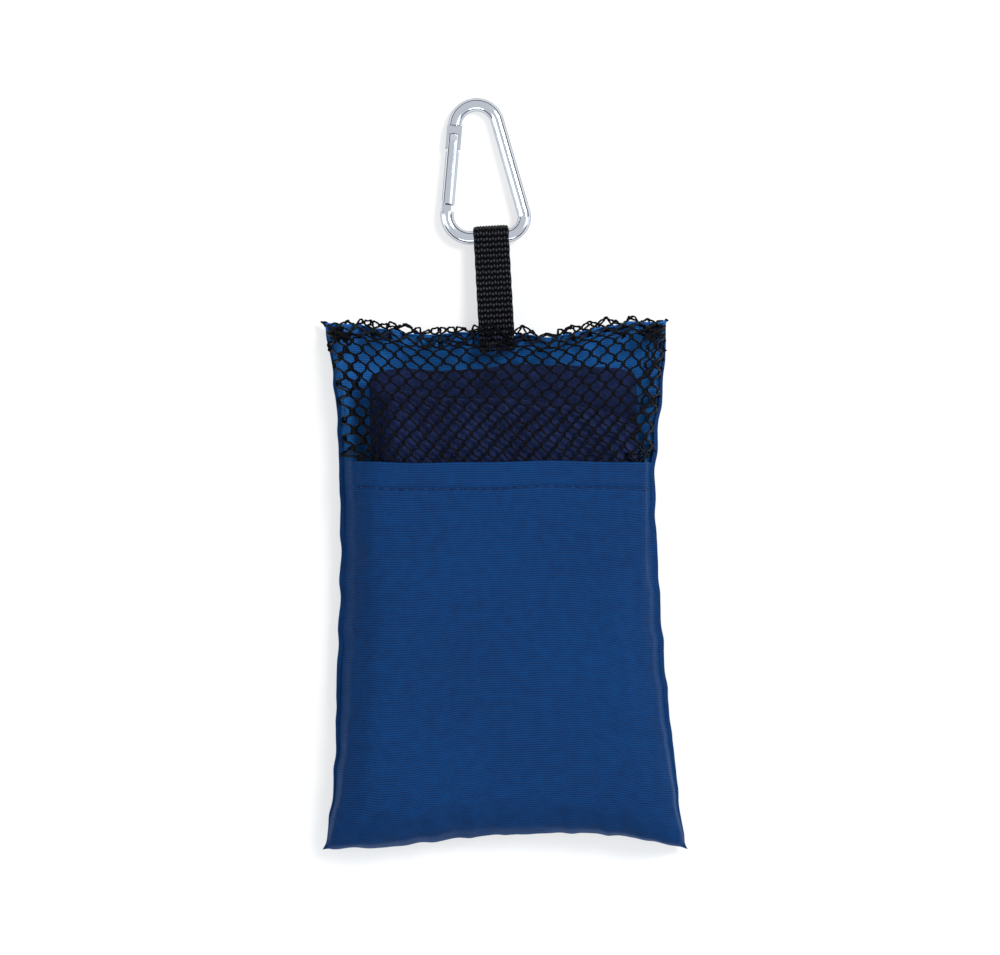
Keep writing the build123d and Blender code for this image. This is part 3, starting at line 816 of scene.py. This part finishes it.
def knitted_mesh(surface, yarn):
    lip = float(surface.flat_y(FLAT_WIDTH / 2, LIP_Y))
    y_low = lip - MESH_BEHIND_LIP
    y_high = FLAT_LENGTH + TOP_ALLOWANCE
    wales, bars = mesh_wales(y_low, y_high, -ALLOWANCE, FLAT_WIDTH + ALLOWANCE)
    middle = wales[..., 0].mean(1)
    wales = wales[(middle > -ALLOWANCE) & (middle < FLAT_WIDTH + ALLOWANCE)]
    count = wales.shape[1]
    fine = np.linspace(0, 1, count * 2 - 1)
    dense = np.einsum("ij,kjc->kic", cubic_weights(count, fine), wales)
    x, y = knit_noise(dense[..., 0], dense[..., 1], KNIT_JITTER)
    wave = 0.1 * np.sin(y * tau / ROW_PITCH * 2 + x)
    paths, normals = mesh_place(surface, x, y, wave, lip)
    slub = 1 + 0.13 * np.sin(np.arange(len(fine)) * 2.6)[None] + 0.08 * np.sin(x * 9.0 + y * 7.0)
    strands = tubes(paths, normals, STRAND_RADIUS * slub, 6)

    t = np.linspace(0, 1, 13)
    sway = STRAND_OFFSET * 1.15 * np.cos(t * 3 * pi)
    rise = (t - 0.5) * BAR_LENGTH * 0.8
    bx = bars[..., 0].ravel()[:, None] + sway[None]
    by = bars[..., 1].ravel()[:, None] + rise[None]
    bx, by = knit_noise(bx, by, KNIT_JITTER)
    keep = (bx.mean(1) > -ALLOWANCE) & (bx.mean(1) < FLAT_WIDTH + ALLOWANCE)
    bx, by = bx[keep], by[keep]
    lace_wave = 0.14 * np.cos(t * 3 * pi + 1.0)[None] + 0 * bx
    lace_paths, lace_normals = mesh_place(surface, bx, by, lace_wave, lip)
    laces = tubes(lace_paths, lace_normals, np.full(bx.shape, STRAND_RADIUS * 0.85), 5)
    points, faces = joined((strands, laces))
    piece = new_piece("mesh_panel_knit", points, faces, "pouch")
    dress(piece, yarn)
    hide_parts("mesh_panel")


# ---------------------------------------------------------------- seams
def seam_threads(surface, thread):
    """Lock stitches just inside the seam, all the way round."""
    half_stitch = SEAM_STITCH * 0.42
    t = np.linspace(-1, 1, 7)
    runs = []
    for length, line in (
        (FLAT_LENGTH, lambda s: (0 * s + SEAM_INSET, s)),
        (FLAT_LENGTH, lambda s: (0 * s + FLAT_WIDTH - SEAM_INSET, s)),
        (FLAT_WIDTH, lambda s: (s, 0 * s + SEAM_INSET)),
        (FLAT_WIDTH, lambda s: (s, 0 * s + FLAT_LENGTH - SEAM_INSET)),
    ):
        middles = np.arange(SEAM_INSET + SEAM_STITCH, length - SEAM_INSET, SEAM_STITCH)
        s = middles[:, None] + t[None] * half_stitch
        x, y = line(s)
        paths = surface.place(x, y, SEAM_THREAD_LIFT + 0.2 * (1 - t[None] ** 2) + 0 * x)
        radii = np.broadcast_to(SEAM_THREAD_RADIUS * (1 - 0.3 * np.abs(t)), x.shape)
        runs.append(tubes(paths, surface.normal(x, y), radii, 6))
    points, faces = joined(runs)
    piece = new_piece("seam_threads", points, faces, "pouch")
    dress(piece, thread)
    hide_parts("left_seam", "right_seam", "top_seam", "bottom_seam")


# ---------------------------------------------------------------- nylon back
def crowded(count, crowd):
    """Places from 0 to 1, closer together near both ends."""
    t = np.linspace(0, 1, count)
    return t - crowd * np.sin(tau * t) / tau


def back_points(u, v, plane):
    """The back panel: it rolls out past the seam, goes under, and lies on the floor."""
    left = u * FLAT_WIDTH
    right = (1 - u) * FLAT_WIDTH
    low = v * FLAT_LENGTH
    high = (1 - v) * FLAT_LENGTH
    side = np.minimum(left, right)
    end = np.minimum(low, high * TOP_WALL)
    rim = seam_height(u, v)

    def wall(distance):
        return np.clip(1 - distance / WALL_WIDTH, 0, 1) ** 1.7

    def rolled(distance, width, height, share):
        bulge = np.exp(-((distance / width) ** 2)) * (1 - np.exp(-((distance / 0.7) ** 2)))
        return height * bulge * np.sin(pi * share) ** 0.4

    up = 1 - (1 - wall(side)) * (1 - wall(end))
    around = v * FLAT_LENGTH + 1.7 * u * FLAT_WIDTH
    crumple = ripple(around, ((11.3, 0.16, 0.0), (6.9, 0.08, 1.0), (19.0, 0.2, 2.0)))
    z = FLOOR_GAP + (rim - FLOOR_GAP) * up + crumple * up * (1 - up) * 4
    quilt = ripple(u * FLAT_WIDTH + 0.4 * low, ((47.0, 0.1, 0.0), (29.0, 0.06, 1.0)))
    z = z + np.abs(quilt) * (1 - up)
    x = plane[..., 0] - np.where(left < right, 1, -1) * rolled(side, 2.4, SIDE_ROLL, v)
    y = plane[..., 1] - np.where(low < high * TOP_WALL, 1, -1) * rolled(end, 2.0, END_ROLL, u)
    return np.stack([x, y, np.maximum(z, 0.16)], axis=-1)


def nylon_back(nylon, inside):
    us, vs = crowded(230, 0.75), crowded(300, 0.6)
    plane = patch(us, vs, BACK_LIP)
    u, v = np.meshgrid(us, vs)
    points = back_points(u, v, plane)
    faces = grid_faces(len(vs), len(us))[:, ::-1]
    flat = measured(points).reshape(-1, 2)
    piece = new_piece("back_panel_nylon", points.reshape(-1, 3), faces, "pouch", flat)
    thickness = piece.modifiers.new("thickness", "SOLIDIFY")
    thickness.thickness = NYLON_THICKNESS * MM
    thickness.offset = 0
    # The inside face takes the second material, a lighter copy of the nylon that paints light into the shade
    # inside the pouch.
    thickness.material_offset = 1
    dress(piece, nylon, inside)
    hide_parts("back_panel")


# ---------------------------------------------------------------- folded towel
def across_folds(count_flat, count_turn):
    """The towel's section across: (x from -0.5 to 0.5, height in plies) along four plies with three turns."""
    places = []
    for number in range(PLIES):
        way = 1 if number % 2 == 0 else -1
        run = np.linspace(-0.5, 0.5, count_flat) * way
        places += [(x, number, 0.0) for x in run]
        if number < PLIES - 1:
            for turn in np.linspace(0, pi, count_turn + 2)[1:-1]:
                places.append((0.5 * way, number + (1 - cos(turn)) / 2, way * sin(turn) / 2))
    return np.array(places)


def folded_towel(fabric):
    low, high = (np.array(c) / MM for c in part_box("towel"))
    width = high[0] - low[0]
    stack = PLY * PLIES
    section = across_folds(20, 5)
    middle_x = (low[0] + high[0]) / 2
    ply_x = section[:, 0] * (width - 2 * PLY) + section[:, 2] * PLY * FOLD_FILL + middle_x
    ply_up = (section[:, 1] - (PLIES - 1) / 2) * PLY

    path = []
    for number in range(PANELS):
        down = number % 2 == 0
        level = low[2] + stack / 2 + number * stack
        hand = -1.0 if down else 1.0
        run = np.linspace(down, not down, PANEL_POINTS)
        path += [(number, share, 0.0, level, hand) for share in run]
        if number < PANELS - 1:
            for turn in np.linspace(0, pi, TURN_POINTS)[1:-1]:
                rise = level + (1 - cos(turn)) / 2 * stack
                path.append((number + turn / pi, float(not down), sin(turn) * hand, rise, cos(turn) * hand))
    path = np.array(path)
    panel, share, out, level, way = path.T

    x = ply_x[None] + 0 * panel[:, None]
    rear_end = high[1] - stack / 2 - END_GAP
    skew = ripple(x, ((90.0, 0.9, 0.2), (41.0, 0.5, 1.0), (19.0, 0.25, 0.4)))
    front_end = front_fold_y(x) - stack / 2 - FRONT_GAP
    blend = smooth_step((panel[:, None] - 2.2) / 0.8)
    top_end = rear_end + skew + (front_end - rear_end - skew) * blend
    low_end = low[1] + stack / 2 + END_GAP + 0.7 * np.sin(panel[:, None] * 2.1)
    top_end = top_end - CORNER_EASE * np.abs((x - middle_x) / (width / 2)) ** 7
    y = low_end + (top_end - low_end) * share[:, None]
    bend = np.sqrt(np.clip(1 - way**2, 0, 1))[:, None] * np.sign(out)[:, None]
    y = y + bend * (stack / 2 * FOLD_FILL - ply_up[None])
    z = level[:, None] + ply_up[None] * way[:, None]
    nudge = (panel[:, None] - 2) * 0.35
    x = x + nudge * np.sin(panel[:, None] * 1.7) + 0.35 * np.sin(y * 0.09 + panel[:, None])
    inset = smooth_step((panel[:, None] - 2.3) / 1.2)
    x = x + inset * (y - low[1]) * 0.012 * np.where(x < 0, 1, 0.1) * np.clip(-x / 40, 0, 1) * 3
    soft = ripple(x * 0.7 + y, ((31.0, 0.16, 0.3), (17.0, 0.07, 1.0))) + ripple(x - y, ((23.0, 0.08, 1.4),))
    z = z + soft * (z - low[2]) / (high[2] - low[2])
    edge = np.minimum(x - low[0], high[0] - x)
    z = z - 1.1 * np.exp(-((edge / 5.0) ** 2)) * (z - low[2] - 8) / 12
    points = np.stack([x, y, z], axis=2)
    lengths_across = np.concatenate([[0], np.cumsum(np.hypot(np.diff(ply_x), np.diff(ply_up)))])
    middle = points[:, points.shape[1] // 8]
    lengths_along = np.concatenate([[0], np.cumsum(np.linalg.norm(np.diff(middle, axis=0), axis=1))])
    flat = np.stack(np.meshgrid(lengths_across, lengths_along), axis=2)
    piece = new_piece(
        "towel_folded",
        points.reshape(-1, 3),
        grid_faces(points.shape[0], points.shape[1]),
        "towel",
        flat.reshape(-1, 2),
    )
    thickness = piece.modifiers.new("thickness", "SOLIDIFY")
    thickness.thickness = PLY * PLY_CLOTH * MM
    thickness.offset = 0
    dress(piece, fabric)
    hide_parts("towel")


# ---------------------------------------------------------------- webbing
def hermite(p, q, slope_p, slope_q, t):
    """A curve from p to q that leaves and arrives with these directions."""
    t = t[:, None]
    return (
        (2 * t**3 - 3 * t**2 + 1) * p
        + (t**3 - 2 * t**2 + t) * slope_p
        + (-2 * t**3 + 3 * t**2) * q
        + (t**3 - t**2) * slope_q
    )


def strap_path():
    """The webbing's middle line as (distance from the root, height over it): in, round the rod and back."""
    reach_out = float(np.dot(rod_middle - strap_root, strap_along))
    drop = rod_middle[2] - strap_root[2]
    fold = ROD_RADIUS + ROD_CLEARANCE + WEBBING_THICKNESS / 2
    half = WEBBING_THICKNESS / 2 + TAIL_CLEARANCE
    inside = np.linspace(-TAIL_LENGTH, SEAM_SIDE, 60)
    tail = np.column_stack([inside, np.full(60, half)])
    t = np.linspace(0, 1, 170)
    rod_top, rod_bottom = np.array([[reach_out, drop + fold], [reach_out, drop - fold]])
    upper, lower = np.array([[SEAM_SIDE, half], [SEAM_SIDE, -half]])
    over = hermite(upper, rod_top, np.array([22, 0.6]), np.array([24, -0.5]), t)
    turn = np.linspace(pi / 2, -pi / 2, 60)[1:-1]
    around = np.column_stack([reach_out + np.cos(turn) * fold, drop + np.sin(turn) * fold])
    under = hermite(rod_bottom, lower, np.array([-24, 0]), np.array([-26, 2.5]), t)
    back = np.column_stack([inside[::-1], np.full(60, -half)])
    return np.concatenate([tail, over[1:], around, under, back[1:]])


def webbing(yarn):
    line = strap_path()
    steps = np.linalg.norm(np.diff(line, axis=0), axis=1)
    length = np.concatenate([[0], np.cumsum(steps)])
    count = int(length[-1] / WEAVE_STEP)
    places = np.linspace(0, length[-1], count)
    line = np.column_stack([np.interp(places, length, line[:, k]) for k in (0, 1)])
    direction = np.gradient(line, axis=0)
    direction /= np.linalg.norm(direction, axis=1, keepdims=True)
    normal = np.column_stack([-direction[:, 1], direction[:, 0]])
    columns = WARPS * WARP_POINTS + 1
    across = np.linspace(-0.5, 0.5, columns)
    s, t = np.meshgrid(places, across, indexing="ij")
    warp = (t + 0.5) * WARPS
    number = np.clip(np.floor(warp), 0, WARPS - 1)
    crown = np.sqrt(np.clip(1 - ((warp - number) * 2 - 1) ** 2 * 0.92, 0, 1))
    rib = s / RIB_PITCH + WARP_STAGGER * (number % 2)
    wobble = 1 + 0.012 * np.sin(s * 1.1)
    edge = np.sqrt(np.clip(1 - np.abs(2 * t) ** 10, 0, 1))
    sides = []
    for face, beat in ((1, np.abs(np.sin(pi * rib))), (-1, np.abs(np.cos(pi * rib)))):
        relief = WEAVE_RELIEF * (crown * np.minimum(beat * 1.35, 1) ** 1.2 - 0.5)
        out = face * (WEBBING_THICKNESS / 2 + relief) * edge
        place = (
            strap_root
            + strap_along * (line[:, 0][:, None] + normal[:, 0][:, None] * out)[..., None]
            + np.array([0, 0, 1.0]) * (line[:, 1][:, None] + normal[:, 1][:, None] * out)[..., None]
            + strap_across * (t * WEBBING_WIDTH * wobble)[..., None]
        )
        sides.append(place.reshape(-1, 3))
    upper = grid_faces(count, columns)
    lower = grid_faces(count, columns, count * columns)[:, ::-1]
    index = np.arange(count * columns).reshape(count, columns)
    below = index + count * columns
    rims = []
    for a, b in (
        (index[:, 0], below[:, 0]),
        (below[:, -1], index[:, -1]),
        (below[0], index[0]),
        (index[-1], below[-1]),
    ):
        rims.append(np.stack([a[:-1], a[1:], b[1:], b[:-1]], axis=1))
    uv = np.stack([t * WEBBING_WIDTH, s], axis=2).reshape(-1, 2)
    piece = new_piece(
        "webbing_woven",
        np.vstack(sides),
        np.vstack([upper, lower, *rims]),
        None,
        np.vstack([uv, uv + (0, RIB_PITCH / 2)]),
    )
    dress(piece, yarn)
    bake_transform(piece)
    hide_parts("webbing_loop", "strap_tail")


# ---------------------------------------------------------------- camera, floor and light
def camera_and_light():
    scene = bpy.context.scene
    view = bpy.data.cameras.new("camera")
    camera = bpy.data.objects.new("camera", view)
    scene.collection.objects.link(camera)
    view.sensor_width = 36.0
    view.lens = view.sensor_width * CAMERA_DISTANCE / VIEW_WIDTH
    view.clip_end = 20
    camera.location = CAMERA_AIM + Vector((0, 0, CAMERA_DISTANCE))
    scene.camera = camera

    ends = np.array([(-1, -1, 0), (1, -1, 0), (1, 1, 0), (-1, 1, 0)]) * FLOOR_HALF
    floor = new_piece("floor", ends, [(0, 1, 2, 3)])
    paper, tree, shader = material("floor_paper", Roughness=0.9)
    grain = node(tree, "ShaderNodeTexNoise", in_Scale=8.0)
    tone = ramp(tree, grain.outputs[0], ((0.0, (0.315, 0.315, 0.315)), (1.0, (0.325, 0.325, 0.325))))
    tree.links.new(tone, shader.inputs["Base Color"])
    shader.inputs["Emission Color"].default_value = (1, 1, 1, 1)
    shader.inputs["Emission Strength"].default_value = 0.59
    dress(floor, paper)

    world = bpy.data.worlds.new("studio")
    scene.world = world
    world.use_nodes = True
    tree = world.node_tree
    background = tree.nodes["Background"]
    place = tree.nodes.new("ShaderNodeTexCoord")
    height = node(tree, "ShaderNodeSeparateXYZ", {0: place.outputs["Generated"]}).outputs[2]
    stops = ((0.0, (0.02, 0.025, 0.035)), (0.27, (0.03, 0.035, 0.05)), (0.34, (0.93, 0.96, 1.0)))
    tree.links.new(ramp(tree, height, stops), background.inputs[0])
    background.inputs[1].default_value = 0.75

    def soft_box(name, place, target, size, power, tint=(1, 1, 1)):
        light = bpy.data.lights.new(name, "AREA")
        light.shape = "RECTANGLE"
        light.size, light.size_y = size
        light.energy = power
        light.color = tint
        lamp = bpy.data.objects.new(name, light)
        lamp.location = place
        lamp.rotation_euler = (Vector(target) - Vector(place)).to_track_quat("-Z", "Y").to_euler()
        scene.collection.objects.link(lamp)

    soft_box("key", (0.72, 0.56, 1.15), (0, 0, 0), (0.42, 0.42), 20.5)
    soft_box("left_strip", (-0.9, 0.0, 0.45), (0, 0, 0), (0.4, 1.2), 3.0, (0.8, 0.92, 1))
    soft_box("right_strip", (0.9, 0.0, 0.45), (0, 0, 0), (0.4, 1.2), 1.7, (0.8, 0.92, 1))
    soft_box("low_strip", (0.0, -1.0, 0.5), (0, -0.06, 0), (1.2, 0.4), 4.0, (0.8, 0.92, 1))
    scene.view_settings.view_transform = "Standard"
    scene.view_settings.look = "None"


# ---------------------------------------------------------------- making it
camera_and_light()

# The ramp's dark and bright ends, used for the weave's painted shade between the floats and painted highlight
# on them, and for random tone.
nylon_dark, nylon_bright = (0.0058, 0.0102, 0.033), (0.004, 0.0415, 0.148)
nylon = nylon_material("nylon_blue_woven", nylon_dark, nylon_bright)
# The inside face is a brighter copy of the same nylon: painted light, which lifts the back panel's inside out
# of the shade that the mesh and towel cast on it.
nylon_inside_painted_light = nylon_material("nylon_blue_inside_painted_light", (0.009, 0.05, 0.17), (0.02, 0.15, 0.47))
blue_thread = thread_material("thread_blue", (0.004, 0.01, 0.04), (0.008, 0.03, 0.11))
navy_thread = thread_material("thread_navy", (0.004, 0.010, 0.035), (0.010, 0.025, 0.08))
mesh_black = ((0.0008, 0.0009, 0.0014), (0.005, 0.0055, 0.008))
mesh_yarn = thread_material("mesh_yarn_black", *mesh_black, 1500.0, 0.45, 0.04)
webbing_yarn = webbing_material()
microfibre = towel_material()
aluminium = metal_material("hook_polished", (0.7, 0.725, 0.78), 0.1)
steel = metal_material("rivet_steel", (0.62, 0.63, 0.66), 0.28)

front = draped_front()
nylon_front(front, nylon)
hem_thread(front, blue_thread)
knitted_mesh(front, mesh_yarn)
nylon_back(nylon, nylon_inside_painted_light)
seam_threads(front, navy_thread)
folded_towel(microfibre)
webbing(webbing_yarn)

for name in ("carabiner_body", "carabiner_gate"):
    dress_node(name, aluminium)
for name in ("gate_rivet", "gate_plunger", "gate_spring"):
    dress_node(name, steel)
dress_node("strap_stitches", blue_thread)
